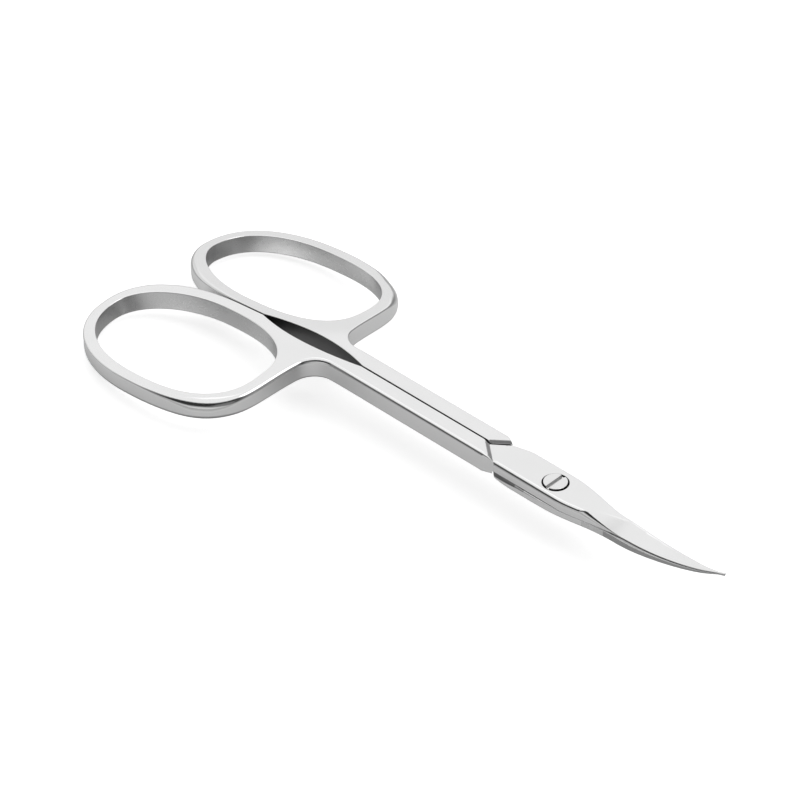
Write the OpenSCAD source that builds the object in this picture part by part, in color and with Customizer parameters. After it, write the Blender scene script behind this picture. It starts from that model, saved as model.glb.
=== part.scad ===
// Cuticle scissors: two forged steel halves that turn on one slotted screw.
// X runs along the closed scissors towards the tips, Y across them, Z up along the screw.
// The origin is on the screw's axis, in the plane of the lower blade's flat underside.

/* [Overall] */
// Screw axis to the tips of the blades
blade_reach = 29.6; // [24:0.1:36]
// Screw axis to the middle of a ring's opening
ring_reach = 62.1; // [58:0.1:72]
// Width across both rings
overall_w = 44.2; // [40:0.2:50]

/* [Rings] */
// Opening, from its middle to its front end
ring_front = 15.2; // [13:0.1:17]
// Opening, from its middle to its back end
ring_back = 15.8; // [12:0.1:18]
// Opening, from its middle line to the side next to the other ring
ring_inner = 8.6; // [7:0.1:10]
// Width of the bar where the rings touch and on their outer sides
ring_bar = 1.8; // [1.2:0.1:3]
// How much wider the bar gets at the front outer and back inner corners
ring_swell = 0.4; // [0:0.05:1]
// Angle by which a ring is set down from the shank
ring_set = 8; // [0:0.5:14]

/* [Shanks] */
// Thickness of shanks and rings
stock_t = 3.2; // [2.4:0.1:4]
// Width of one shank
shank_w = 2.6; // [2:0.1:3.6]
// Gap between the closed shanks
shank_gap = 0.24; // [0.1:0.02:0.5]
// Width of the lens-shaped opening between the shanks, behind their straight part
lens_w = 2.8; // [1:0.1:4]
// Length of that opening
lens_len = 20; // [12:1:26]
// Screw axis to the front end of that opening
lens_x = 36.8; // [32:0.2:40]
// Fillet between ring and shank
neck_r = 3.75; // [2:0.05:4.5]
// How far the fillet starts in front of the ring
neck_flare = 0.85; // [0.2:0.05:2]

/* [Joint] */
// Screw axis to the point of the V where the shanks meet the joint
vee_x = 12.2; // [9:0.1:15]
// Angle of the V's arms to the shanks
vee_angle = 40; // [30:1:55]
// Height of the step from the shank's top down to the joint's
step_h = 0.35; // [0.1:0.05:0.8]
// Height of the flats on which the two halves meet, above the underside
split_z = 1.2; // [1:0.05:1.6]
// Joint, from its middle to the side of the spine
hub_spine = 2.8; // [2.4:0.05:3.6]
// How far the shoulder's outer corner is cut back along the shank
shoulder_cut = 2.2; // [0.5:0.1:3]
// Clearance between the two flats
flat_gap = 0.06; // [0.02:0.01:0.15]
// Clearance between a joint and the other half's shoulder
shoulder_gap = 0.2; // [0.1:0.05:0.5]

/* [Blades] */
// Screw axis to the narrow heel of the blade
heel_x = 12; // [8:0.5:14]
// Blade's spine side at the heel
heel_spine = 1.35; // [1:0.05:2]
// Blade's cutting side at the heel
heel_edge = 0.9; // [0.6:0.05:1.6]
// How far both blades lean towards the upper blade's cutting side
blade_lean = 0.2; // [0:0.02:0.5]
// Screw axis to the start of the upward curve
curve_x = 12.5; // [8:0.5:20]
// Radius of the upward curve
curve_r = 50; // [34:1:120]
// Screw axis to the start of the ground bevel
bevel_x = 6; // [4:0.5:8]
// Screw axis to the place where the bevel is fully ground
bevel_end = 13; // [10:0.5:15]
// Thickness left at the cutting edge
edge_t = 0.15; // [0.08:0.01:0.4]
// Thickness of the spine at the tip
tip_t = 0.25; // [0.15:0.05:0.6]
// Width of the blade at the very tip
tip_w = 0.25; // [0.15:0.05:0.6]

/* [Screw] */
// Diameter of the screw's head
head_d = 3.8; // [3:0.1:4.6]
// Height of the head
head_h = 0.8; // [0.5:0.05:0.9]
// How far the head stands above the joint's flat
head_proud = 0.2; // [0:0.02:0.3]
// Diameter of the screw's shaft
screw_d = 2.2; // [1.6:0.1:2.6]
// Radial clearance round the shaft and the head, where they turn
run_gap = 0.05; // [0.02:0.01:0.1]
// Width of the slot for the screwdriver
slot_w = 0.5; // [0.3:0.05:0.8]
// Depth of the slot
slot_d = 0.35; // [0.2:0.05:0.5]

/* [Hidden] */
$fn = 96;
steel = [0.80, 0.81, 0.82];
screw_steel = [0.72, 0.73, 0.75];

// The joint is as thick as the shank less the step on its top
hub_t = stock_t - step_h;
half_gap = shank_gap / 2;
shank_side = half_gap + shank_w;
// The rings stand so that their bars just clear each other on the middle line
ring_y = half_gap + ring_bar + ring_inner;
// Opening, from its middle line to the outer side
ring_outer = overall_w / 2 - ring_y - ring_bar;
// How full the ring's corners are: 2 is an ellipse, more is squarer
full_front_in = 2.6;
full_front_out = 2.5;
full_back_in = 2.0;
full_back_out = 2.3;
ring_steps = 120;
// Where on the ring the bar is widest, as angles round the opening, and how far each swelling reaches
swell_at = [35, 222];
swell_span = 48;
// The neck, about which a ring is set down, seen from above
neck_x = 42;
neck_y = 3;
set_blend = 4;
set_steps = 12;
// Where the joint starts to narrow on either side, where the blade starts to taper,
// and where its lean fades out
spine_x = 1;
edge_x = 2;
taper_x = 14;
tip_x = 25;
// How the blade's two sides and the end of its bevel curve: 1 is straight
spine_bow = 1.35;
edge_bow = 1.7;
bevel_bow = 1.6;
// How much the upper and the lower joint's back corners are taken in, and over which stretch
corner_cut = [0.8, 0.45];
corner_x = -10.2;
corner_end = -6;
// Flat left beside the spine by the bevel
spine_land = 0.25;
// Run of the slope at the shank's end, for its height, and angle of the cut corner beside it
slope_run = 1.2;
corner_angle = 25;
// Play between the screw's thread and its hole, and under its head
thread_play = 0.03;
head_chamfer = 0.1;
neck_steps = 20;
neck_blend = 4;
hub_steps = 30;
blade_steps = 28;
meet_steps = 14;
// Longer than any solid, and the least that a cutter runs past a face
reach = 60;
over = 1;
quarter = 90;

// Powers that keep the sign of the base
function spow(v, p) = sign(v) * pow(abs(v), p);
// A smooth step from 0 at a to 1 at b
function ease(a, b, x) = let (u = max(0, min(1, (x - a) / (b - a)))) u * u * (3 - 2 * u);
function mix(p, q, u) = p + (q - p) * u;

// Width of the bar at an angle round the opening
function swell(d) = abs(d) < swell_span ? pow(cos(d * quarter / swell_span), 2) : 0;
function bar_at(t) = ring_bar + ring_swell * (swell(t - swell_at[0]) + swell(t - swell_at[1]));

// A ring's outline: four quarters of superellipses, set off outwards by grow
function quarter_full(c, s) = c > 0
    ? (s > 0 ? full_front_out : full_front_in)
    : (s > 0 ? full_back_out : full_back_in);
function ring_point(t, grow) =
    let (c = cos(t), s = sin(t))
    let (a = c > 0 ? ring_front : ring_back)
    let (b = s > 0 ? ring_outer : ring_inner)
    let (n = quarter_full(c, s))
    let (p = [a * spow(c, 2 / n), b * spow(s, 2 / n)])
    let (d = [spow(c, 2 - 2 / n) / a, spow(s, 2 - 2 / n) / b])
    [-ring_reach, ring_y] + p + grow * d / norm(d);
function ring_outline(bar) = [for (i = [0 : ring_steps - 1])
    let (t = (i + 0.5) * 4 * quarter / ring_steps) ring_point(t, bar ? bar_at(t) : 0)];

// Height of the rings' setting-down, at a distance d past the neck
function set_drop(d) = d < -set_blend ? 0
    : d > set_blend ? d * tan(ring_set)
    : pow(d + set_blend, 2) / (4 * set_blend) * tan(ring_set);

// The surface on which the blades meet, at a distance r from the screw's axis: flat, then an arc
function meet_z(r) = split_z + (r > curve_x ? curve_r - sqrt(pow(curve_r, 2) - pow(r - curve_x, 2)) : 0);

// The plan of a blade, spine side and cutting side at x: it narrows towards the tip on curved lines
function taper(x, bow) = 1 - pow(max(0, min(1, (x - taper_x) / (blade_reach - taper_x))), bow);
function spine_y(x) =
    max(tip_w / 2, mix(hub_spine, heel_spine, ease(spine_x, heel_x, x)) * taper(x, spine_bow));
function edge_y(x) =
    max(tip_w / 2, mix(shank_side, heel_edge, ease(edge_x, taper_x, x)) * taper(x, edge_bow));
// The lean of both blades, which fades out towards the joint and the tips
function lean(x) = blade_lean * ease(bevel_x, heel_x, x) * ease(blade_reach, tip_x, x);
// Thickness of a blade at its spine and at its cutting edge, where full is its thickness at the joint
function spine_t(x, full) = mix(full, tip_t, max(0, (x - curve_x) / (blade_reach - curve_x)));
function cut_t(x, full) =
    mix(edge_t, full, pow(max(0, min(1, (bevel_end - x) / (bevel_end - bevel_x))), bevel_bow));

// The web between ring and shank, with the fillet in front of it
neck_c = [ring_front - ring_reach + ring_bar + neck_flare + neck_r, shank_side + neck_r];
module neck_web() {
    lead = ring_y - neck_c[1];
    start = 2 * quarter + atan2(neck_flare, lead);
    arc = [for (i = [neck_steps : -1 : 0]) let (t = mix(start, 3 * quarter - neck_blend, i / neck_steps))
        neck_c + neck_r * [cos(t), sin(t)]];
    inside = half_gap + shank_w / 2;
    polygon(concat([[-ring_reach, inside], [arc[0][0], inside]], arc,
        [[ring_front - ring_reach + ring_bar, ring_y], [-ring_reach, ring_y]]));
}

// Seen from above, ring, neck and shank of one half, on the +Y side
module handle_plan() {
    difference() {
        union() {
            polygon(ring_outline(true));
            translate([-ring_reach, half_gap]) square([ring_reach - vee_x + reach / 4, shank_w]);
            neck_web();
        }
        polygon(ring_outline(false));
        lens_cut();
        translate([-2 * reach, half_gap - reach]) square([4 * reach, reach]);
        vee(0);
    }
}

// The arc that opens a gap between the shanks
module lens_cut() {
    bow = lens_w / 2 - half_gap;
    r = (pow(lens_len / 2, 2) + bow * bow) / (2 * bow);
    translate([-lens_x - lens_len / 2, half_gap + bow - r]) circle(r = r, $fn = 360);
}

// Everything on the blade's side of one arm of the V, on the +Y side
module vee(grow) {
    translate([-vee_x, 0]) rotate(vee_angle)
        translate([-reach, grow - 2 * reach]) square([3 * reach, 2 * reach]);
}

// A slab that is level along the shank and slopes down under the ring, on the +Y side
module set_slab() {
    top = concat([[-reach, stock_t]],
        [for (i = [0 : set_steps]) let (d = set_blend * (2 * i / set_steps - 1)) [d, stock_t - set_drop(d)]],
        [[reach, stock_t - set_drop(reach)]]);
    bottom = [for (i = [len(top) - 1 : -1 : 0]) top[i] - [0, stock_t]];
    translate([-neck_x, neck_y, 0]) rotate([90, 0, 135])
        translate([0, 0, -reach]) linear_extrude(2 * reach) polygon(concat(top, bottom));
}

// The slope that brings a shank's top down to the joint's, along one arm of the V
module end_slope() {
    run = 6 * step_h * slope_run;
    rise = 6 * step_h;
    translate([-vee_x, 0, 0]) rotate([90, 0, 90 + vee_angle]) translate([0, 0, -reach])
        linear_extrude(2 * reach) polygon([[-run, hub_t - rise], [run, hub_t + rise], [-run, hub_t + rise]]);
}

// What is cut from the shoulder's outer corner, seen from above
module shoulder_corner() {
    arm = shank_side / tan(vee_angle) - vee_x;
    drop = 2 * reach * tan(corner_angle);
    polygon([[arm - shoulder_cut, shank_side], [arm - shoulder_cut + 2 * reach, shank_side - drop],
        [arm + 2 * reach, reach], [arm - shoulder_cut, reach]]);
}

// Ring, neck and shank of one half, on the +Y side: side is 1 for the upper half, -1 for the lower
module handle(side) {
    difference() {
        intersection() {
            set_slab();
            translate([0, 0, -reach / 2]) linear_extrude(reach) handle_plan();
        }
        end_slope();
        translate([0, 0, side > 0 ? split_z - reach : split_z]) linear_extrude(reach) shoulder_corner();
    }
}

// The upper half's joint, from one arm of the V to the blade, with its back corner taken in by cut
module hub(cut) {
    spine = [for (i = [hub_steps : -1 : 0]) let (x = mix(corner_x, bevel_x, i / hub_steps))
        [x, spine_y(x) - cut * (1 - ease(corner_x, corner_end, x))]];
    near = [for (i = [0 : hub_steps]) let (x = mix(edge_x, bevel_x, i / hub_steps)) [x, -edge_y(x)]];
    linear_extrude(hub_t) difference() {
        polygon(concat([[-vee_x - over, -shank_side]], near, spine,
            [[-vee_x - over, 0]]));
        shoulder();
    }
}

// The other half's shoulder, with its clearance, on the +Y side
module shoulder() {
    difference() {
        translate([-2 * reach, -half_gap]) square([3 * reach, reach]);
        vee(-shoulder_gap);
    }
}

// A blade from the joint to the tip, before its flat is ground: side is 1 for the upper one, -1 for the lower
module blade(side) {
    start = bevel_x - over / 2;
    full = side > 0 ? hub_t - split_z : split_z;
    x = [for (i = [0 : blade_steps]) mix(start, blade_reach, i / blade_steps)];
    section = [for (v = x)
        let (z = meet_z(v), e = edge_y(v), s = spine_y(v), t = spine_t(v, full))
        let (ground = max(0, min(1, (v - bevel_x) / (bevel_end - bevel_x))))
        let (ridge = mix(-e, s - min(spine_land, (s + e) / 3), max(0.02, ground)))
        [for (p = [[-e, -over / 4], [-e, cut_t(v, full)], [ridge, t], [s, t], [s, -over / 4]])
            [v, side * p[0] - lean(v), z + side * p[1]]]];
    n = 5;
    points = [for (p = section) for (q = p) q];
    last = n * blade_steps;
    sides = [for (i = [0 : blade_steps - 1]) for (j = [0 : n - 1])
        let (a = i * n + j, b = i * n + (j + 1) % n)
        for (f = [[a, b, b + n], [a, b + n, a + n]]) f];
    ends = [[for (j = [n - 1 : -1 : 0]) j], [for (j = [0 : n - 1]) last + j]];
    polyhedron(points, concat(sides, ends));
}

// What lies on one side of the surface on which the blades meet, with its share of the gap between them
module beyond_meeting(side) {
    far = blade_reach + over;
    curve = [for (i = [0 : meet_steps]) let (r = mix(curve_x, far, i / meet_steps))
        [r, meet_z(r) - side * flat_gap / 2]];
    edge = side * reach / 4;
    rotate_extrude($fn = 180)
        polygon(concat([[0, split_z - side * flat_gap / 2]], curve, [[far, edge], [0, edge]]));
}

module lower_half() {
    color(steel) difference() {
        union() {
            handle(-1);
            difference() {
                union() {
                    translate([0, 0, hub_t]) rotate([180, 0, 0]) hub(corner_cut[1]);
                    blade(-1);
                }
                beyond_meeting(1);
            }
        }
        translate([0, 0, -over]) cylinder(d = screw_d + 2 * thread_play, h = hub_t + 2 * over);
    }
}

module upper_half() {
    seat = hub_t + head_proud - head_h - thread_play;
    color(steel) difference() {
        union() {
            mirror([0, 1, 0]) handle(1);
            difference() {
                union() {
                    hub(corner_cut[0]);
                    blade(1);
                }
                beyond_meeting(-1);
            }
        }
        translate([0, 0, -over]) cylinder(d = screw_d + 2 * run_gap, h = hub_t + 2 * over);
        translate([0, 0, seat]) cylinder(d = head_d + 2 * run_gap, h = hub_t);
    }
}

module pivot_screw() {
    top = hub_t + head_proud;
    color(screw_steel) difference() {
        rotate_extrude() polygon([[0, 0], [screw_d / 2, 0], [screw_d / 2, top - head_h],
            [head_d / 2, top - head_h], [head_d / 2, top - head_chamfer],
            [head_d / 2 - head_chamfer, top], [0, top]]);
        translate([-slot_w / 2, -head_d, top - slot_d]) cube([slot_w, 2 * head_d, slot_d + over]);
    }
}

lower_half();
upper_half();
pivot_screw();
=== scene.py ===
import math

import bpy
import numpy as np
from mathutils import Matrix, Vector
from mathutils.geometry import delaunay_2d_cdt

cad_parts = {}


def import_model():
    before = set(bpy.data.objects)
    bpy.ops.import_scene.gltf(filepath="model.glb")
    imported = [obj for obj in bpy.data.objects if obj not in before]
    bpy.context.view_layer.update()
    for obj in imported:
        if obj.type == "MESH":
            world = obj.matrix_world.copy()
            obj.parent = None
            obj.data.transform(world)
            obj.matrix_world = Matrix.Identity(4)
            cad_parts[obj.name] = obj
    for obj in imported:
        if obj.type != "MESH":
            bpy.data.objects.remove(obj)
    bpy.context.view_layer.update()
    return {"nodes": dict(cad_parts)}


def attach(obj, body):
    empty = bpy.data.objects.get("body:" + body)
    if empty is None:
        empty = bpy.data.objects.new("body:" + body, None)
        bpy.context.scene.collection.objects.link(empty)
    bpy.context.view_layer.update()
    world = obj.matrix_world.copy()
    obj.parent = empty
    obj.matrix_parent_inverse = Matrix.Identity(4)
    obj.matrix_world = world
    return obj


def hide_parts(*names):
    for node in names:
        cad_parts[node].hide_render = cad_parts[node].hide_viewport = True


# Sizes are in millimetres and become metres when a mesh is made. X runs from the screw to the tips and Z up the
# screw's axis. Both handles are drawn on the +Y side. In a pair of values for the halves, 1 is the upper half, whose
# handle is mirrored to the near side, and -1 the lower one.
MM = 0.001
RIGHT_ANGLE = math.radians(90)

# Rings: the opening's middle, its half sizes, how square each quarter is, and the bar round it
RING_REACH = 62.1
RING_FRONT, RING_BACK = 15.2, 15.8
RING_INNER, OVERALL_W = 8.6, 44.2
FULLNESS = {(1, -1): 2.6, (1, 1): 2.5, (-1, -1): 2.0, (-1, 1): 2.3}
RING_BAR, RING_SWELL = 1.8, 0.6
SWELL_AT, SWELL_SPAN = (35.0, 222.0), 48.0
# The solids' reach and half width, which the swelling doesn't pass
REACH_LIMIT, WIDTH_LIMIT = 79.71, 22.097
# The rings are set down by this angle, from a slanting line on
RING_SET = math.radians(8)
SET_X, SET_Y, SET_BLEND = 42.0, 3.0, 4.0

# Necks: the fillet in front of the ring, the angle in degrees at which the neck meets the ring, and the degrees over
# which the neck's rounding turns into the ring's
NECK_R, NECK_FLARE, NECK_JOIN = 3.75, 0.85, 12.0
NECK_BLEND = 15.0

# Shanks, and the lens-shaped opening between them
STOCK_T, SHANK_W, SHANK_GAP = 3.2, 2.6, 0.24
HALF_GAP = SHANK_GAP / 2
SHANK_SIDE = HALF_GAP + SHANK_W
LENS_W, LENS_LEN, LENS_X = 2.8, 20.0, 36.8
RING_Y = HALF_GAP + RING_BAR + RING_INNER
RING_OUTER = OVERALL_W / 2 - RING_Y - RING_BAR

# Joint: the V-shaped step, the two plates that cross, and the shoulders that they clear
VEE_X, VEE_ANGLE = 12.2, math.radians(40)
STEP_H, STEP_RUN = 0.35, {1: 0.62, -1: 0.38}
# Where the search for the step starts, and the share of its run from which the slope eases off
STEP_FROM_X, STEP_LEVELS = -20.0, 0.85
HUB_T, SPLIT_Z, FLAT_GAP = STOCK_T - STEP_H, 1.2, 0.06
SPLIT_INSET, HUB_ROOT = 0.03, 0.7
SHOULDER_GAP, SHOULDER_CUT, CORNER_ANGLE = 0.2, 2.2, math.radians(25)
CORNER_X, CORNER_END = -10.2, -6.0
CORNER_CUT = {1: 0.8, -1: 0.35}
# Where the plate's near wall comes out of the handle, and how far it is hidden before
SEAM_X, SEAM_INSET = (-9.3, -8.9), 0.02
# The lower plate stands out a little under the upper one
HUB_SPINE, HUB_SWELL, HUB_SWELL_X = 2.8, 0.15, (-10, -8, -2, 4)

# Blades: widths along X, the ground bevel and the curve of the surface on which the blades meet
BLADE_REACH, TIP_W, TIP_T, EDGE_T = 29.6, 0.25, 0.25, 0.10
HEEL_X, HEEL_SPINE, HEEL_EDGE, LEAN = 12.0, 1.35, 0.9, 0.2
SPINE_X, EDGE_X, TAPER_X, TIP_X = 1.0, 2.0, 14.0, 25.0
SPINE_BOW, EDGE_BOW, BEVEL_BOW = 1.35, 1.7, 1.6
CURVE_X, CURVE_R, CURVE_SPAN = 12.5, 50.0, 30
BEVEL_X, BEVEL_END, SPINE_LAND = 6.0, 13.0, 0.25
BEVEL_SLOPE, BEVEL_START, RIDGE_SOFT, RIDGE_PAST = 0.74, 0.02, 0.06, 1.4

# Screw
HEAD_D, HEAD_PROUD, SCREW_D = 3.8, 0.2, 2.2
SLOT_W, SLOT_D = 0.58, 0.35
HEAD_INSET, HEAD_H, SHAFT_TOP = 0.2, 0.8, 0.9
HEAD_PLAY, SHAFT_PLAY, SLOT_OVERLAP = 0.02, 0.03, 0.01

# Rounding radii of the edges. A pair is the top edge's and the bottom edge's, and a stretch of outline has such a
# pair at its start and at its end.
BORE_R, LENS_R = (0.14, 0.2), (0.12, 0.15)
FINE_R, HUB_FOOT_R = 0.05, 0.06
SHOULDER_R = (0.3, 0.3)
SHANK_R = ((0.62, 0.3), (0.68, 0.35))
FILLET_R = ((0.68, 0.35), (0.8, 0.45))
NECK_EDGE_R = ((0.8, 0.45), (0.85, 0.6))
# The lower half's top edges are crisper
CRISP = {1: 1.0, -1: 0.4}
# Along the ring's outer edge, by angle round the opening
RING_TOP_R = (
    (0, 0.75), (20, 1.1), (38, 1.7), (52, 1.6), (66, 0.75), (85, 0.25),
    (150, 0.25), (190, 0.6), (225, 0.85), (255, 0.4), (270, 0.2))
RING_LOW_R = ((0, 0.5), (30, 0.9), (90, 1.0), (150, 1.1), (190, 1.0), (230, 0.9), (270, 0.3))
# Joint and blades: a radius, and the share of the thickness that it doesn't pass
SEAM_R, HUB_R, HUB_R_SHARE = 0.12, 0.7, 0.42
SPINE_R, SPINE_R_SHARE = {1: 0.18, -1: 0.3}, 0.35
FLAT_R = 0.03
# The lower plate's upper rim, along X
RIM_R, RIM_R_SHARE = ((-9, 0.75), (-6.5, 0.42), (-4, 0.22), (0, 0.13), (12, 0.05)), 0.6
SHAFT_R, BASE_R, HEAD_R, SLOT_R = (0.03, 0.06), (0.02, 0.05), (0.07, 0.01), (0.04, 0.01)
COUNTERBORE_R, SHAFT_BORE_R = (0.02, 0.02), (0.02, 0.05)

# Finishes and steps of painted shade, as indices into a piece's materials
POLISHED, SATIN_SHADE, DARK_SHADE, GROUND_AND_SHADE = 0, 1, 2, 3
# The same from the finest and lightest to the coarsest and darkest, as steps of painted shade
SHADE_STEPS = np.array([POLISHED, GROUND_AND_SHADE, SATIN_SHADE, DARK_SHADE])
# Where the handles' facing sides turn from polished to ever darker steels: painted shade in the gap between the
# handles
FACING_SHADE_X = (-64.0, -60.5, -57.2)
# Where the lower blade's flank turns from polished to darker steels: painted shade on the flank beside the upper
# blade
FLANK_SHADE_X = (6.5, 10.0)
# Where the lower plate's upper rim turns from the darkest steel back to polished: painted shade under the upper
# plate's wall
RIM_SHADE_X = (-5.0, -3.2, -1.0)
# How far the rings' inner walls lean outwards, as their shading shows it
INNER_LEAN = math.radians(24)

# Fineness of the meshes: steps of a rounding, and the longest edge of an outline
ARC_STEPS, SPACING, HUB_SPACING = 5, 0.35, 0.3
# Steps along a handle's outline: arm of the V, shoulder, shank, fillet, neck, ring and lens-shaped opening
ARM_STEPS, SHOULDER_STEPS, SHANK_STEPS, FILLET_STEPS = 12, 8, 40, 24
NECK_STEPS, RING_STEPS, LENS_STEPS = 14, 150, 60
# Steps along the outline of a joint and its blade, from the hidden root round to the root again
ROOT_STEPS, HUB_STEPS, EDGE_STEPS, SPINE_STEPS, FOOT_STEPS = 6, 20, 90, 120, 10
# Where the blade's edge starts past EDGE_X, and how close to a shoulder's tip its extra point lies, as a share
EDGE_GAP, TIP_SHARE = 0.4, 0.01
# Degrees from point to point of a ring's opening, and steps of the screw and its bores
HOLE_STEP, BORE_STEPS, SHAFT_STEPS = 1.5, 72, 64
HEAD_STEPS, HEAD_ARC_STEPS, SLOT_STEPS = 96, 60, 16
# Lattices of points on the faces, each with its limits in X and Y and its spacing
HANDLE_GRID = ((-80, -36, 0, 23, 0.8), (-36, -14, 0, 3, 0.8), (-14, -8, 0, 3, 0.18))
HUB_GRID = ((-13, 6, -3, 3, 0.5), (6, 30, -3, 3, 0.22))
SCREW_GRID = ((-2, 2, -2, 2, 0.3),)
# Rows of points along an arm of the V: start, end and spacing along it, and their places across it, of which the
# last three count from the end of the slope
ARM_SPAN, ARM_FIRST, ARM_BESIDE = (0.2, 5.2, 0.15), 0.2, (-0.08, -0.03, 0.02)
# Spacing of a lattice's rows as a share of its step, distance of its points from an outline, points per batch
ROW_SHARE, POINT_CLEARANCE, CHUNK = 0.9, 0.16, 400
# Distance over which a slope is measured, limit of a mitre, least plain wall, and height of a seam in it
PROBE, MITRE_MIN, WALL_MIN, SEAM_RISE = 0.02, 0.6, 0.05, 0.001
# How far past the lens-shaped opening a wall still counts as one that faces the other handle
FACING_PLAY = 0.01

# Steels: colour, roughness and strength of the grinding lines. The dark, satin and screw-side steels are darker as
# painted shade, and the ground steel is both the rings' ground inner surface and painted shade
STEELS = {
    "polished_steel": (0.82, 0.13, 0.12),
    "satin_shade_steel": (0.43, 0.33, 0.1),
    "dark_shade_steel": (0.20, 0.38, 0.5),
    "ground_and_shade_steel": (0.72, 0.28, 0.12),
    "turned_steel": (0.80, 0.15, 0.1),
    "screw_side_shade_steel": (0.06, 0.3, 0.3),
}
# Their grinding lines and haze: patterns per metre, depth of the lines in metres, and how dark the haze gets
GRAIN_SCALE, GRAIN_DEPTH, HAZE_SCALE, HAZE_DARK = (300, 9000, 9000), 0.00002, 180.0, 0.975
ROUGH_RANGE, HAZE_RANGE = (0.85, 1.2), (0.3, 0.7)

# Soft lights of the studio: direction, cosines at which the glow starts and is full, strength
SOFT_LIGHTS = (
    ((-0.25, 0.2, 0.95), 0.56, 0.68, 1.0),
    ((-0.45, 0.1, 0.88), 0.93, 0.99, 1.3),
    ((-0.6, 0.7, 0.3), 0.76, 0.93, 0.90),
    ((-1.0, -0.09, 0.1), 0.55, 0.98, 0.85),
    ((0.5, 0.85, 0.0), 0.0, 0.8, 0.30),
    ((0.25, -0.96, -1.0), 0.42, 0.85, 0.75),
    ((0.7, -0.7, 0.25), 0.84, 0.98, 0.2),
)
ROOM = 0.03
# The floor in metres, its greys by how low it is looked at, which are painted shade, and what it adds of its own for
# the camera
FLOOR_HALF, FLOOR_Z = 1.5, -0.0055
FLOOR_SHADE_GREYS = ((0.0, 0.30), (0.45, 0.82), (0.9, 0.5))
FLOOR_GLOW = 0.62
# The lamp, in metres and watts
LAMP_PLACE, LAMP_TARGET, LAMP_SIZE, LAMP_POWER = (0.35, 0.15, 0.6), (-0.03, 0, 0), 0.45, 0.85

# The camera's angles, the point that it looks at, its distance from it in metres, and its lens
AZIMUTH, ELEVATION, ROLL = math.radians(43.756), math.radians(38.125), math.radians(0.150)
LOOK_AT, LOOK_FROM_M = Vector((-0.030444, 0.001188, -0.0002)), 0.45395
SENSOR_MM, FOCAL_PX, PICTURE_PX = 36.0, 3199.5, 800


def clamp(v):
    return np.clip(v, 0.0, 1.0)


def ease(a, b, x):
    u = clamp((np.asarray(x, float) - a) / (b - a))
    return u * u * (3 - 2 * u)


def mix(p, q, u):
    return p + (q - p) * u


def table(x, pairs):
    xs, ys = zip(*pairs)
    return np.interp(x, xs, ys)


# Forms of the object, by the same formulas as its solids


def bar_at(degrees):
    """Width of a ring's bar at angles round the opening."""
    def bump(d):
        return np.where(np.abs(d) < SWELL_SPAN, np.cos(np.radians(d * 90 / SWELL_SPAN)) ** 2, 0)

    return RING_BAR + RING_SWELL * (bump(degrees - SWELL_AT[0]) + bump(degrees - SWELL_AT[1]))


def ring_points(degrees, bar):
    """Points of a ring's outline, set off outwards by bar, at angles round the opening."""
    t = np.radians(np.asarray(degrees, float))
    c, s = np.cos(t), np.sin(t)
    c[np.abs(c) < 1e-9] = 0
    s[np.abs(s) < 1e-9] = 0
    a = np.where(c > 0, RING_FRONT, RING_BACK)
    b = np.where(s > 0, RING_OUTER, RING_INNER)
    n = np.array([FULLNESS[(1 if i > 0 else -1, 1 if j > 0 else -1)] for i, j in zip(c, s)])
    p = np.column_stack([a * np.sign(c) * np.abs(c) ** (2 / n), b * np.sign(s) * np.abs(s) ** (2 / n)])
    d = np.column_stack([np.sign(c) * np.abs(c) ** (2 - 2 / n) / a, np.sign(s) * np.abs(s) ** (2 - 2 / n) / b])
    d /= np.linalg.norm(d, axis=1)[:, None]
    return np.array([-RING_REACH, RING_Y]) + p + np.asarray(bar, float).reshape(-1, 1) * d


def set_drop(x, y):
    """How far the rings are set down, at a point on the +Y side."""
    d = (-(x + SET_X) + (y - SET_Y)) / math.sqrt(2)
    blend = (d + SET_BLEND) ** 2 / (4 * SET_BLEND)
    return np.where(d < -SET_BLEND, 0, np.where(d > SET_BLEND, d, blend)) * math.tan(RING_SET)


def meet_z(x, y=0.0):
    """Height of the surface on which the blades meet."""
    out = np.clip(np.hypot(x, y) - CURVE_X, 0, CURVE_SPAN)
    return SPLIT_Z + (CURVE_R - np.sqrt(CURVE_R ** 2 - out ** 2))


def taper(x, bow):
    return 1 - clamp((x - TAPER_X) / (BLADE_REACH - TAPER_X)) ** bow


def spine_y(x):
    return np.maximum(TIP_W / 2, mix(HUB_SPINE, HEEL_SPINE, ease(SPINE_X, HEEL_X, x)) * taper(x, SPINE_BOW))


def edge_y(x):
    return np.maximum(TIP_W / 2, mix(SHANK_SIDE, HEEL_EDGE, ease(EDGE_X, TAPER_X, x)) * taper(x, EDGE_BOW))


def lean(x):
    return LEAN * ease(BEVEL_X, HEEL_X, x) * ease(BLADE_REACH, TIP_X, x)


def spine_t(x, full):
    return mix(full, TIP_T, clamp((x - CURVE_X) / (BLADE_REACH - CURVE_X)))


def cut_t(x, full):
    return mix(EDGE_T, full, clamp((BEVEL_END - x) / (BEVEL_END - BEVEL_X)) ** BEVEL_BOW)


def plate_t(side):
    """Thickness of a half's plate at the joint."""
    return HUB_T - SPLIT_Z if side > 0 else SPLIT_Z


def along_vee(x, y):
    """How far a point lies behind the arm of the V."""
    return -((x + VEE_X) * math.sin(VEE_ANGLE) - y * math.cos(VEE_ANGLE))


def handle_top(side):
    def height(x, y):
        z = STOCK_T - set_drop(x, y)
        u = clamp(along_vee(x, y) / STEP_RUN[side])
        soft = np.where(u > STEP_LEVELS, u - (u - STEP_LEVELS) ** 2 / (2 * (1 - STEP_LEVELS)), u)
        return np.where(x > STEP_FROM_X, z - STEP_H * (1 - soft / ((1 + STEP_LEVELS) / 2)), z)

    return height


def handle_low(x, y):
    return -set_drop(x, y)


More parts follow.
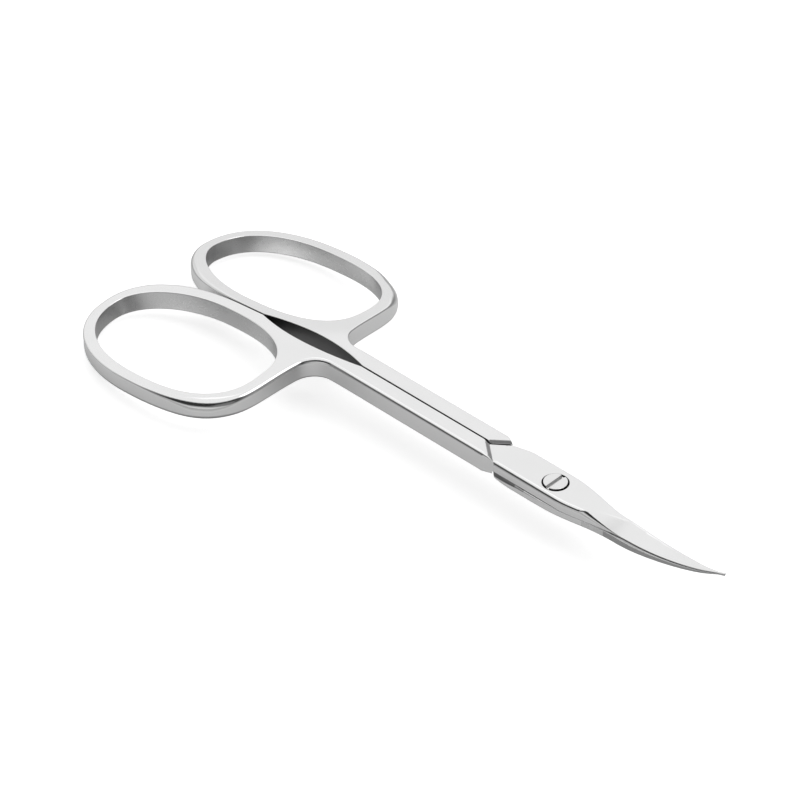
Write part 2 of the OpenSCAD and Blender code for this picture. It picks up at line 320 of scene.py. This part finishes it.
def blade_t(side):
    """Thickness from the meeting surface to the outer face, at a point on the upper half's side."""
    full = plate_t(side)

    def height(x, y):
        y = y + side * lean(x)
        e, s = edge_y(x), spine_y(x)
        ground = np.maximum(BEVEL_START, clamp((x - BEVEL_X) / (BEVEL_END - BEVEL_X)))
        ridge = mix(-e, s - np.minimum(SPINE_LAND, (s + e) / 3), ground)
        low, high = cut_t(x, full), spine_t(x, full)
        high = np.where(x > TAPER_X, np.minimum(high, low + BEVEL_SLOPE * (ridge + e)), high)
        u = (y + e) / np.maximum(ridge + e, 1e-3)
        bevel = mix(low, high, np.minimum(u, RIDGE_PAST))
        # the smaller of bevel and high, with a soft ridge between them
        h = clamp(0.5 + 0.5 * (high - bevel) / RIDGE_SOFT)
        t = mix(high, bevel, h) - RIDGE_SOFT * h * (1 - h)
        return np.where(x < BEVEL_X, full, t)

    return height


# Outlines. Each is a closed line with the material on its left, and has a top and a bottom radius at each point.


def line(p, q, n):
    return [mix(np.array(p, float), np.array(q, float), i / n) for i in range(n + 1)]


def resample(outlines, radii, step):
    """Outlines that match point by point, split alike so that no edge is longer than step."""
    out, rad = [[] for _ in outlines], []
    n = len(radii)
    for i in range(n):
        j = (i + 1) % n
        longest = max(np.linalg.norm(p[j] - p[i]) for p in outlines)
        k = max(1, int(math.ceil(longest / step)))
        for m in range(k):
            for p, points in zip(outlines, out):
                points.append(mix(p[i], p[j], m / k))
            rad.append(mix(radii[i], radii[j], m / k))
    return [np.array(points) for points in out], np.array(rad)


def shoulder(cut_corner):
    """The V's apex, the end of its arm and the corner behind it."""
    tan = math.tan(VEE_ANGLE)
    apex = (-VEE_X + HALF_GAP / tan, HALF_GAP)
    arm_end = SHANK_SIDE / tan - VEE_X
    corner = (arm_end - SHOULDER_CUT, SHANK_SIDE)
    if not cut_corner:
        return apex, (arm_end, SHANK_SIDE), corner
    slope = math.tan(CORNER_ANGLE)
    x = (corner[1] + slope * corner[0] - tan * VEE_X) / (tan + slope)
    return apex, (x, (x + VEE_X) * tan), corner


def neck_curve(start, heading):
    """A smooth curve from the fillet's end to the ring's outline, without its ends."""
    near = np.array([NECK_JOIN - 1, NECK_JOIN, NECK_JOIN + 1])
    before, end, after = ring_points(near, bar_at(near))
    span = np.linalg.norm(end - start)
    d0 = heading / np.linalg.norm(heading) * span
    d1 = (after - before) / np.linalg.norm(after - before) * span
    return [
        (2 * u ** 3 - 3 * u ** 2 + 1) * start + (u ** 3 - 2 * u ** 2 + u) * d0
        + (3 * u ** 2 - 2 * u ** 3) * end + (u ** 3 - u ** 2) * d1
        for u in np.linspace(0, 1, NECK_STEPS)[1:-1]]


def lens_arc():
    """The handle's side of the lens-shaped opening, from the ring to the shank."""
    bow = LENS_W / 2 - HALF_GAP
    radius = ((LENS_LEN / 2) ** 2 + bow * bow) / (2 * bow)
    mid = np.array([-LENS_X - LENS_LEN / 2, HALF_GAP + bow - radius])
    half = math.asin(LENS_LEN / 2 / radius)
    return [mid + radius * np.array([math.sin(a), math.cos(a)]) for a in np.linspace(-half, half, LENS_STEPS)]


def handle_outline(cut_corner, side):
    """From the V round the ring and back along the inner side."""
    crisp = np.array([CRISP[side], 1.0])
    pts, rad = [], []

    def add(points, first, last):
        for i, p in enumerate(points):
            pts.append(np.array(p, float))
            rad.append(mix(np.array(first, float), np.array(last, float), i / max(1, len(points) - 1)))

    apex, tip, corner = shoulder(cut_corner)
    fine = (FINE_R, FINE_R)
    add(line(apex, tip, ARM_STEPS), fine, fine)
    # a point close to the tip keeps its mixed normal off the flat wall
    beside_tip = mix(np.array(tip), np.array(corner), TIP_SHARE)
    add(line(beside_tip, corner, SHOULDER_STEPS)[:-1], fine, SHOULDER_R * crisp)
    middle = np.array([RING_FRONT - RING_REACH + RING_BAR + NECK_FLARE + NECK_R, SHANK_SIDE + NECK_R])
    add(line(corner, (middle[0], SHANK_SIDE), SHANK_STEPS)[:-1], SHANK_R[0] * crisp, SHANK_R[1] * crisp)
    heading = np.array([-NECK_FLARE, RING_Y - middle[1]])
    last_angle = 180 + math.degrees(math.atan2(-heading[0], heading[1]))
    turn = np.radians(np.linspace(270, last_angle, FILLET_STEPS))
    arc = [middle + NECK_R * np.array([math.cos(a), math.sin(a)]) for a in turn]
    add(arc, FILLET_R[0] * crisp, FILLET_R[1] * crisp)
    add(neck_curve(arc[-1], heading), NECK_EDGE_R[0] * crisp, NECK_EDGE_R[1] * crisp)
    t = np.linspace(NECK_JOIN, 270, RING_STEPS)
    ring = ring_points(t, bar_at(t))
    ring[:, 0] = np.maximum(ring[:, 0], -REACH_LIMIT)
    ring[:, 1] = np.clip(ring[:, 1], HALF_GAP, WIDTH_LIMIT)
    top = mix((NECK_EDGE_R[1] * crisp)[0], table(t, RING_TOP_R), clamp((t - NECK_JOIN) / NECK_BLEND))
    pts += list(ring)
    rad += list(np.column_stack([top, table(t, RING_LOW_R)]))
    add(lens_arc(), LENS_R, LENS_R)
    return np.array(pts), np.array(rad)


def hub_outline(side):
    """Joint and blade, on the upper half's side: cutting side first, then round the tip and back.

    The radii are those of the outer face's edge and of the flat face's edge.
    """
    tan = math.tan(VEE_ANGLE)
    clear = SHOULDER_GAP / math.cos(VEE_ANGLE)
    full = plate_t(side)
    root = np.linspace(-VEE_X - HUB_ROOT, SEAM_X[0], ROOT_STEPS)
    rows = [(x, -SHANK_SIDE + SEAM_INSET, SEAM_R, FLAT_R) for x in root]
    rows += [(x, -SHANK_SIDE, HUB_R, HUB_FOOT_R) for x in np.linspace(SEAM_X[1], EDGE_X, HUB_STEPS)]
    for x in np.linspace(EDGE_X + EDGE_GAP, BLADE_REACH, EDGE_STEPS):
        rows.append((x, -edge_y(x) - side * lean(x), min(HUB_R, HUB_R_SHARE * float(cut_t(x, full))), FLAT_R))
    for x in np.linspace(BLADE_REACH, CORNER_X, SPINE_STEPS):
        y = spine_y(x) - CORNER_CUT[side] * (1 - ease(CORNER_X, CORNER_END, x)) - side * lean(x)
        if y > (x + VEE_X) * tan - clear:
            break
        t = float(spine_t(x, full))
        flat = FLAT_R
        if side < 0:
            a, b, c, d = HUB_SWELL_X
            y += HUB_SWELL * ease(a, b, x) * ease(d, c, x)
            flat = table(x, RIM_R)
        rows.append((x, y, min(SPINE_R[side], SPINE_R_SHARE * t), min(flat, RIM_R_SHARE * t)))
    foot = (-VEE_X - HUB_ROOT, -HUB_ROOT * tan - clear)
    rows += [(*p, HUB_FOOT_R, HUB_FOOT_R) for p in line(rows[-1][:2], foot, FOOT_STEPS)[1:]]
    rows = np.array(rows, float)
    return rows[:, :2], rows[:, 2:]


def circle(radius, n, clockwise=False):
    t = np.linspace(0, 2 * math.pi, n, endpoint=False)
    if clockwise:
        t = t[::-1]
    return radius * np.column_stack([np.cos(t), np.sin(t)])


def lattices(areas):
    """Staggered points over rectangles, each given as its limits in X and Y and its spacing."""
    out = []
    for x0, x1, y0, y1, step in areas:
        x, y = np.meshgrid(np.arange(x0, x1, step), np.arange(y0, y1, step * ROW_SHARE))
        x[::2] += step / 2
        out.append(np.column_stack([x.ravel(), y.ravel()]))
    return np.concatenate(out)


def arm_rows(run):
    """Rows of points along the sloped band beside an arm of the V."""
    along = np.arange(*ARM_SPAN)
    c, s = math.cos(VEE_ANGLE), math.sin(VEE_ANGLE)
    across = (ARM_FIRST, *(run + d for d in ARM_BESIDE))
    return np.concatenate([np.column_stack([-VEE_X + along * c - d * s, along * s + d * c]) for d in across])


# Closed plates between two height functions, with rounded edges and exact normals


def inside(p, loops):
    hit = np.zeros(len(p), bool)
    for loop in loops:
        a, b = loop, np.roll(loop, -1, axis=0)
        for i in range(0, len(p), CHUNK):
            q = p[i:i + CHUNK, None, :]
            cross = (a[None, :, 1] > q[:, :, 1]) != (b[None, :, 1] > q[:, :, 1])
            with np.errstate(divide="ignore", invalid="ignore"):
                x = a[None, :, 0] + (q[:, :, 1] - a[None, :, 1]) * (b - a)[None, :, 0] / (b - a)[None, :, 1]
            hit[i:i + CHUNK] ^= (np.count_nonzero(cross & (q[:, :, 0] < x), axis=1) % 2).astype(bool)
    return hit


def distance(p, loops):
    points = np.concatenate(loops)
    out = np.empty(len(p))
    for i in range(0, len(p), CHUNK):
        d = p[i:i + CHUNK, None, :] - points[None]
        out[i:i + CHUNK] = np.sqrt((d ** 2).sum(2).min(1))
    return out


def face_normal(f, x, y, up):
    gx = (f(x + PROBE, y) - f(x - PROBE, y)) / (2 * PROBE)
    gy = (f(x, y + PROBE) - f(x, y - PROBE)) / (2 * PROBE)
    n = np.column_stack([-gx, -gy, np.ones(len(x))])
    n /= np.linalg.norm(n, axis=1)[:, None]
    return n if up else -n


def inwards(p):
    """At each point of an outline, the step by which it moves in, and the unit direction of that step."""
    e = np.roll(p, -1, axis=0) - p
    n = np.column_stack([-e[:, 1], e[:, 0]])
    n /= np.maximum(np.linalg.norm(n, axis=1), 1e-9)[:, None]
    both = np.roll(n, 1, axis=0) + n
    length = np.maximum(1 + (np.roll(n, 1, axis=0) * n).sum(1), MITRE_MIN)
    return both / length[:, None], both / np.maximum(np.linalg.norm(both, axis=1), 1e-9)[:, None]


def wall_normal(p):
    return np.column_stack([-inwards(p)[1], np.zeros(len(p))])


def rounded_edge(outline, radius, f, up, tilt):
    """Rings of points and normals over the rounding between a wall and a face, from low to high."""
    step, n = inwards(outline)
    rings = []
    for k in range(ARC_STEPS + 1):
        a = RIGHT_ANGLE * k / ARC_STEPS
        q = outline + step * (radius * (1 - math.cos(a)))[:, None]
        lift = radius * (1 - math.sin(a)) * (-1 if up else 1)
        z = f(q[:, 0], q[:, 1]) + lift
        face = face_normal(f, q[:, 0], q[:, 1], up)
        if up:
            a = tilt + a * (1 - tilt / RIGHT_ANGLE)
        normal = np.column_stack([-n * math.cos(a), np.zeros(len(q))]) + face * math.sin(a)
        if not up and k == 0:
            normal[:, 2] += math.tan(tilt)
        normal /= np.linalg.norm(normal, axis=1)[:, None]
        rings.append((np.column_stack([q, z]), normal))
    return rings if up else rings[::-1]


def all_polished(x, y):
    return POLISHED


class Builder:
    """Collects closed plates into one mesh."""

    def __init__(self):
        self.verts, self.faces, self.normals, self.finish_and_shade = [], [], [], []

    def add_face(self, corners, normals, finish_and_shade):
        self.faces.append(tuple(int(i) for i in corners))
        self.normals.append(tuple(normals))
        self.finish_and_shade.append(int(finish_and_shade))

    def ring(self, points, normals):
        start = len(self.verts)
        self.verts.extend(points.tolist())
        return np.arange(start, start + len(points)), normals

    def band(self, low, high, finish_and_shade):
        (a, na), (b, nb) = low, high
        for i in range(len(a)):
            j = (i + 1) % len(a)
            self.add_face((a[i], a[j], b[j], b[i]), (na[i], na[j], nb[j], nb[i]), finish_and_shade[i])

    def cap(self, rings, grid, f, up, finish_and_shade):
        """Fill a face between its rings of points, with points of the grid on it."""
        loops = [np.array([self.verts[i][:2] for i in r]) for r in rings]
        extra = grid[inside(grid, loops)]
        extra = extra[distance(extra, loops) > POINT_CLEARANCE]
        start = len(self.verts)
        self.verts.extend(np.column_stack([extra, f(extra[:, 0], extra[:, 1])]).tolist())
        pts = np.concatenate(loops + [extra])
        ids = np.concatenate(rings + [np.arange(start, start + len(extra))])
        edges, k = [], 0
        for loop in loops:
            edges += [(k + i, k + (i + 1) % len(loop)) for i in range(len(loop))]
            k += len(loop)
        out = delaunay_2d_cdt([Vector(p) for p in pts], edges, [], 0, 1e-6, True)
        origin = [o[0] if o else -1 for o in out[3]]
        tris = np.array([t for t in out[2] if len(t) == 3])
        where = np.array([list(v) for v in out[0]])
        normal = face_normal(f, pts[:, 0], pts[:, 1], up)
        for t in tris[inside(where[tris].mean(1), loops)]:
            o = [origin[i] for i in t]
            if min(o) < 0:
                continue
            a, b, c = where[t]
            turn = (b - a)[0] * (c - a)[1] - (b - a)[1] * (c - a)[0]
            if (turn > 0) != up:
                o = o[::-1]
            self.add_face([ids[i] for i in o], [normal[i] for i in o], finish_and_shade(*((a + b + c) / 3)))

    def plate(self, loops, top, low, grid, swap=None, top_finish_and_shade=all_polished, rim=None):
        """Add a plate between the height functions low and top.

        loops: of each outline its points, its radii, the steel of its wall, which can be painted shade, and the
        wall's
        tilt. swap: another line for the lower part of the first outline, and the height where it ends. rim: steel of
        the first outline's rounded top edge, which can be painted shade.
        """
        capped_low, capped_top = [], []
        for index, (pts, rad, finish_and_shade, tilt) in enumerate(loops):
            first = index == 0
            below = swap[0] if swap and first else pts
            rings = rounded_edge(below, rad[:, 1], low, False, tilt)
            if below is not pts:
                bottom = low(pts[:, 0], pts[:, 1]) + rad[:, 1] + WALL_MIN
                ceiling = top(pts[:, 0], pts[:, 1]) - rad[:, 0] - WALL_MIN
                z = np.clip(swap[1], bottom, np.maximum(bottom, ceiling))
                rings.append((np.column_stack([below, z]), wall_normal(below)))
                rings.append((np.column_stack([pts, z + SEAM_RISE]), wall_normal(pts)))
            rings += rounded_edge(pts, rad[:, 0], top, True, tilt)
            made = [self.ring(p, n) for p, n in rings]
            edge = rim if rim is not None and first else np.full(len(pts), POLISHED)
            for k, (a, b) in enumerate(zip(made, made[1:])):
                self.band(a, b, edge if k >= len(made) - ARC_STEPS - 1 else finish_and_shade)
            capped_low.append(made[0][0])
            capped_top.append(made[-1][0])
        self.cap(capped_low, grid, low, False, all_polished)
        self.cap(capped_top, grid, top, True, top_finish_and_shade)

    def mirrored(self):
        out = Builder()
        out.verts = [(x, -y, z) for x, y, z in self.verts]
        out.faces = [f[::-1] for f in self.faces]
        out.normals = [tuple(np.array([n[0], -n[1], n[2]]) for n in ns[::-1]) for ns in self.normals]
        out.finish_and_shade = list(self.finish_and_shade)
        return out

    def join(self, other):
        k = len(self.verts)
        self.verts += other.verts
        self.faces += [tuple(i + k for i in f) for f in other.faces]
        self.normals += other.normals
        self.finish_and_shade += other.finish_and_shade

    def build(self, name, materials):
        mesh = bpy.data.meshes.new(name)
        mesh.from_pydata([tuple(c * MM for c in v) for v in self.verts], [], self.faces)
        mesh.polygons.foreach_set("use_smooth", [True] * len(mesh.polygons))
        for material in materials:
            mesh.materials.append(material)
        mesh.polygons.foreach_set("material_index", self.finish_and_shade)
        corner_normals = []
        for poly in mesh.polygons:
            corner_normals.extend([Vector(n).normalized() for n in self.normals[poly.index]])
        mesh.normals_split_custom_set(corner_normals)
        mesh.update()
        obj = bpy.data.objects.new(name, mesh)
        bpy.context.scene.collection.objects.link(obj)
        return obj


# Pieces


def handle(side):
    """Ring, neck and shank on the +Y side. The upper half's shoulder is cut below the meeting surface."""
    full, rad = handle_outline(False, side)
    (full, cut), rad = resample((full, handle_outline(True, side)[0]), rad, SPACING)
    # The walls that face the other handle get darker from the ring towards the joint: painted shade in the gap
    # between the handles.
    facing = (full[:, 1] < LENS_W / 2 + FACING_PLAY) & (full[:, 0] < -VEE_X)
    wall = np.where(facing, SHADE_STEPS[np.digitize(full[:, 0], FACING_SHADE_X)], POLISHED)
    hole = ring_points(np.arange(0.5, 360 / HOLE_STEP) * HOLE_STEP, np.zeros(int(360 / HOLE_STEP)))[::-1]
    hole_r = np.tile(BORE_R, (len(hole), 1))
    grid = np.concatenate([lattices(HANDLE_GRID), arm_rows(STEP_RUN[side])])
    top_line, low_line = (full, cut) if side > 0 else (cut, full)

    def step_band_shade(x, y):
        """The sloped band along the arm of the V gets the darker satin steel: painted shade in the step."""
        return SATIN_SHADE if x > STEP_FROM_X and along_vee(x, y) < STEP_RUN[side] else POLISHED

    b = Builder()
    b.plate(
        [(top_line, rad, wall, 0.0), (hole, hole_r, np.full(len(hole), GROUND_AND_SHADE), INNER_LEAN)],
        handle_top(side), handle_low, grid,
        swap=(low_line, SPLIT_Z - side * SPLIT_INSET), top_finish_and_shade=step_band_shade)
    return b


def upper_plate():
    """Joint and blade of the upper half, with the screw head's counterbore."""
    outline, rad = hub_outline(1)
    (pts,), rad = resample((outline,), rad, HUB_SPACING)
    hole = circle(HEAD_D / 2 + HEAD_PLAY, BORE_STEPS, clockwise=True)
    hole_r = np.tile(COUNTERBORE_R, (len(hole), 1))
    thick = blade_t(1)
    b = Builder()
    # The counterbore's wall gets the darkest steel: painted shade in the gap round the screw head.
    b.plate(
        [(pts, rad, np.full(len(pts), POLISHED), 0.0), (hole, hole_r, np.full(len(hole), DARK_SHADE), 0.0)],
        lambda x, y: meet_z(x, y) + thick(x, y), lambda x, y: meet_z(x, y) + FLAT_GAP / 2, lattices(HUB_GRID))
    return b


def lower_plate():
    """Joint and blade of the lower half, turned over about the X axis, so that the outer face is the underside."""
    outline, rad = hub_outline(-1)
    (pts,), rad = resample((outline,), rad, HUB_SPACING)
    pts, rad = (pts * [1, -1])[::-1], rad[::-1][:, ::-1]
    hole = (circle(SCREW_D / 2 + SHAFT_PLAY, BORE_STEPS, clockwise=True) * [1, -1])[::-1]
    hole_r = np.tile(SHAFT_BORE_R, (len(hole), 1))
    near = pts[:, 1] < 0
    # The lower blade's near flank gets darker along X: painted shade beside the upper blade.
    flank_shade = np.where(near, np.array([POLISHED, GROUND_AND_SHADE, SATIN_SHADE])[np.digitize(pts[:, 0], FLANK_SHADE_X)], POLISHED)
    # Its near upper rim is darkest under the upper plate's wall and turns polished further out: painted shade.
    rim = np.where(near, SHADE_STEPS[::-1][np.digitize(pts[:, 0], RIM_SHADE_X)], POLISHED)
    thick = blade_t(-1)
    b = Builder()
    # The shaft's bore gets the darkest steel: painted shade inside the bore.
    b.plate(
        [(pts, rad, flank_shade, 0.0), (hole, hole_r, np.full(len(hole), DARK_SHADE), 0.0)],
        lambda x, y: meet_z(x, y) - FLAT_GAP / 2, lambda x, y: meet_z(x, y) - thick(x, -y),
        lattices(HUB_GRID) * [1, -1],
        # the lower blade's flat face is darker past BEVEL_X: painted shade beside the upper blade's edge
        top_finish_and_shade=lambda x, y: SATIN_SHADE if x > BEVEL_X else POLISHED, rim=rim)
    return b


def screw():
    """Shaft with its end flush below, and a head in two segments beside the slot."""
    top = HUB_T + HEAD_PROUD
    grid = lattices(SCREW_GRID)
    b = Builder()

    def disc(outline, radii, finish_and_shade, high, low):
        def level(z):
            return lambda x, y: np.full(np.shape(x), float(z))

        b.plate([(outline, radii, finish_and_shade, 0.0)], level(high), level(low), grid)

    disc(circle(SCREW_D / 2, SHAFT_STEPS), np.tile(SHAFT_R, (SHAFT_STEPS, 1)), np.full(SHAFT_STEPS, POLISHED),
         top - SHAFT_TOP, 0)
    rim = HEAD_D / 2 - HEAD_INSET
    # The head's lower part gets the near-black screw-side steel on its wall: painted shade in the gap round the
    # head.
    disc(circle(rim, HEAD_STEPS), np.tile(BASE_R, (HEAD_STEPS, 1)), np.full(HEAD_STEPS, SATIN_SHADE),
         top - SLOT_D, top - HEAD_H)
    gap = math.asin(SLOT_W / 2 / rim)
    for turn in (0, math.pi):
        a = np.linspace(-math.pi / 2 + gap, math.pi / 2 - gap, HEAD_ARC_STEPS) + turn
        arc = rim * np.column_stack([np.cos(a), np.sin(a)])
        chord = np.array(line(arc[-1], arc[0], SLOT_STEPS))[1:-1]
        radii = np.concatenate([np.tile(HEAD_R, (len(arc), 1)), np.tile(SLOT_R, (len(chord), 1))])
        # The head's curved walls get the near-black steel and the slot's walls a darker steel: painted shade in the
        # gap round the head and in the slot.
        finish_and_shade = [SATIN_SHADE] * (len(arc) - 1) + [DARK_SHADE] * (len(chord) + 1)
        disc(np.concatenate([arc, chord]), radii, finish_and_shade, top, top - SLOT_D - SLOT_OVERLAP)
    return b


def half(side):
    b = handle(side)
    if side > 0:
        b = b.mirrored()
    b.join(upper_plate() if side > 0 else lower_plate())
    return b


# Materials and light


def node(tree, kind, **inputs):
    n = tree.nodes.new(kind)
    for key, value in inputs.items():
        name = key.replace("_", " ")
        if name in n.inputs:
            n.inputs[name].default_value = value
        else:
            setattr(n, key, value)
    return n


def steel(name):
    """Stainless steel with faint grinding lines along X and a soft haze."""
    grey, rough, grain = STEELS[name]
    material = bpy.data.materials.new(name)
    material.use_nodes = True
    tree = material.node_tree
    shader = tree.nodes["Principled BSDF"]
    shader.inputs["Metallic"].default_value = 1.0
    place = node(tree, "ShaderNodeTexCoord")
    stretch = node(tree, "ShaderNodeMapping", Scale=GRAIN_SCALE)
    lines = node(tree, "ShaderNodeTexNoise", Scale=1.0, Detail=3.0)
    tree.links.new(place.outputs["Object"], stretch.inputs["Vector"])
    tree.links.new(stretch.outputs["Vector"], lines.inputs["Vector"])
    haze = node(tree, "ShaderNodeTexNoise", Scale=HAZE_SCALE, Detail=4.0)
    tree.links.new(place.outputs["Object"], haze.inputs["Vector"])
    tint = node(tree, "ShaderNodeValToRGB")
    for stop, at, value in zip(tint.color_ramp.elements, HAZE_RANGE, (grey * HAZE_DARK, grey)):
        stop.position = at
        stop.color = (value, value, value, 1)
    tree.links.new(haze.outputs["Fac"], tint.inputs["Fac"])
    tree.links.new(tint.outputs["Color"], shader.inputs["Base Color"])
    spread = node(tree, "ShaderNodeMapRange", To_Min=rough * ROUGH_RANGE[0], To_Max=rough * ROUGH_RANGE[1])
    tree.links.new(lines.outputs["Fac"], spread.inputs["Value"])
    tree.links.new(spread.outputs["Result"], shader.inputs["Roughness"])
    bump = node(tree, "ShaderNodeBump", Strength=grain, Distance=GRAIN_DEPTH)
    tree.links.new(lines.outputs["Fac"], bump.inputs["Height"])
    tree.links.new(bump.outputs["Normal"], shader.inputs["Normal"])
    return material


def set_up_world():
    """Pure white to the camera. To the metal, a dark room with a big soft light behind and above, and small ones."""
    world = bpy.data.worlds.new("studio")
    bpy.context.scene.world = world
    world.use_nodes = True
    tree = world.node_tree
    place = node(tree, "ShaderNodeTexCoord")
    total = None
    for direction, start, full, strength in SOFT_LIGHTS:
        dot = node(tree, "ShaderNodeVectorMath", operation="DOT_PRODUCT")
        dot.inputs[1].default_value = direction
        tree.links.new(place.outputs["Generated"], dot.inputs[0])
        glow = node(tree, "ShaderNodeMapRange", interpolation_type="SMOOTHSTEP",
                    From_Min=start, From_Max=full, To_Max=strength)
        tree.links.new(dot.outputs["Value"], glow.inputs["Value"])
        brighter = node(tree, "ShaderNodeMath", operation="MAXIMUM")
        brighter.inputs[0].default_value = ROOM
        if total is not None:
            tree.links.new(total, brighter.inputs[0])
        tree.links.new(glow.outputs["Result"], brighter.inputs[1])
        total = brighter.outputs[0]
    path = node(tree, "ShaderNodeLightPath")
    choice = node(tree, "ShaderNodeMix", data_type="RGBA")
    # the node's sockets for colours come after those for numbers and vectors
    to_metal, to_camera, chosen = choice.inputs[6], choice.inputs[7], choice.outputs[2]
    to_camera.default_value = (1, 1, 1, 1)
    tree.links.new(path.outputs["Is Camera Ray"], choice.inputs[0])
    tree.links.new(total, to_metal)
    background = tree.nodes["Background"]
    tree.links.new(chosen, background.inputs["Color"])
    background.inputs["Strength"].default_value = 1.0


def set_up_floor():
    h, z = FLOOR_HALF, FLOOR_Z
    mesh = bpy.data.meshes.new("floor")
    mesh.from_pydata([(-h, -h, z), (h, -h, z), (h, h, z), (-h, h, z)], [], [(0, 1, 2, 3)])
    floor = bpy.data.objects.new("floor", mesh)
    bpy.context.scene.collection.objects.link(floor)
    material = bpy.data.materials.new("floor")
    material.use_nodes = True
    tree = material.node_tree
    shader = tree.nodes["Principled BSDF"]
    shader.inputs["Roughness"].default_value = 1.0
    shader.inputs["Specular IOR Level"].default_value = 0.0
    # painted shade: the sheet looks brightest at a middle angle, and darker straight down, where the object shades
    # it, and far away
    weight = node(tree, "ShaderNodeLayerWeight", Blend=0.5)
    tint = node(tree, "ShaderNodeValToRGB")
    stops = tint.color_ramp.elements
    stops[1].position = FLOOR_SHADE_GREYS[1][0]
    stops.new(FLOOR_SHADE_GREYS[2][0])
    for stop, (_, grey) in zip(stops, FLOOR_SHADE_GREYS):
        stop.color = (grey, grey, grey, 1)
    tree.links.new(weight.outputs["Facing"], tint.inputs["Fac"])
    tree.links.new(tint.outputs["Color"], shader.inputs["Base Color"])
    path = node(tree, "ShaderNodeLightPath")
    tree.links.new(path.outputs["Is Camera Ray"], shader.inputs["Emission Strength"])
    shader.inputs["Emission Color"].default_value = (FLOOR_GLOW, FLOOR_GLOW, FLOOR_GLOW, 1)
    mesh.materials.append(material)


def set_up_lamp():
    data = bpy.data.lights.new("key", "AREA")
    data.shape, data.size, data.energy = "DISK", LAMP_SIZE, LAMP_POWER
    lamp = bpy.data.objects.new("key", data)
    lamp.location = LAMP_PLACE
    lamp.rotation_euler = (Vector(LAMP_TARGET) - Vector(LAMP_PLACE)).to_track_quat("-Z", "Y").to_euler()
    bpy.context.scene.collection.objects.link(lamp)


def set_up_camera():
    back = Vector((
        math.sin(AZIMUTH) * math.cos(ELEVATION), -math.cos(AZIMUTH) * math.cos(ELEVATION), math.sin(ELEVATION)))
    level = Vector((math.cos(AZIMUTH), math.sin(AZIMUTH), 0))
    upright = back.cross(level)
    right = math.cos(ROLL) * level + math.sin(ROLL) * upright
    up = -math.sin(ROLL) * level + math.cos(ROLL) * upright
    x, y, z = (at + direction * LOOK_FROM_M for at, direction in zip(LOOK_AT, back))
    data = bpy.data.cameras.new("camera")
    data.sensor_width, data.lens = SENSOR_MM, FOCAL_PX / PICTURE_PX * SENSOR_MM
    data.clip_start, data.clip_end = 0.01, 20
    camera = bpy.data.objects.new("camera", data)
    camera.matrix_world = Matrix((
        (right.x, up.x, back.x, x),
        (right.y, up.y, back.y, y),
        (right.z, up.z, back.z, z),
        (0, 0, 0, 1)))
    bpy.context.scene.collection.objects.link(camera)
    bpy.context.scene.camera = camera


def main():
    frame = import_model()
    steels = {name: steel(name) for name in STEELS}
    half_steels = [steels[name] for name in ("polished_steel", "satin_shade_steel", "dark_shade_steel", "ground_and_shade_steel")]
    screw_steels = [steels[name] for name in ("turned_steel", "screw_side_shade_steel", "satin_shade_steel")]
    for obj in frame["nodes"].values():
        obj.data.materials.clear()
        obj.data.materials.append(steels["polished_steel"])
    for side, body, cad_node in ((1, "upper_body", "upper_half"), (-1, "lower_body", "lower_half")):
        piece = half(side).build(cad_node + "_steel", half_steels)
        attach(piece, body)
        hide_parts(cad_node)
    head = screw().build("slotted_screw", screw_steels)
    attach(head, "lower_body")
    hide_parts("pivot_screw")
    set_up_world()
    set_up_floor()
    set_up_lamp()
    set_up_camera()
    bpy.context.scene.view_settings.view_transform = "Standard"


main()
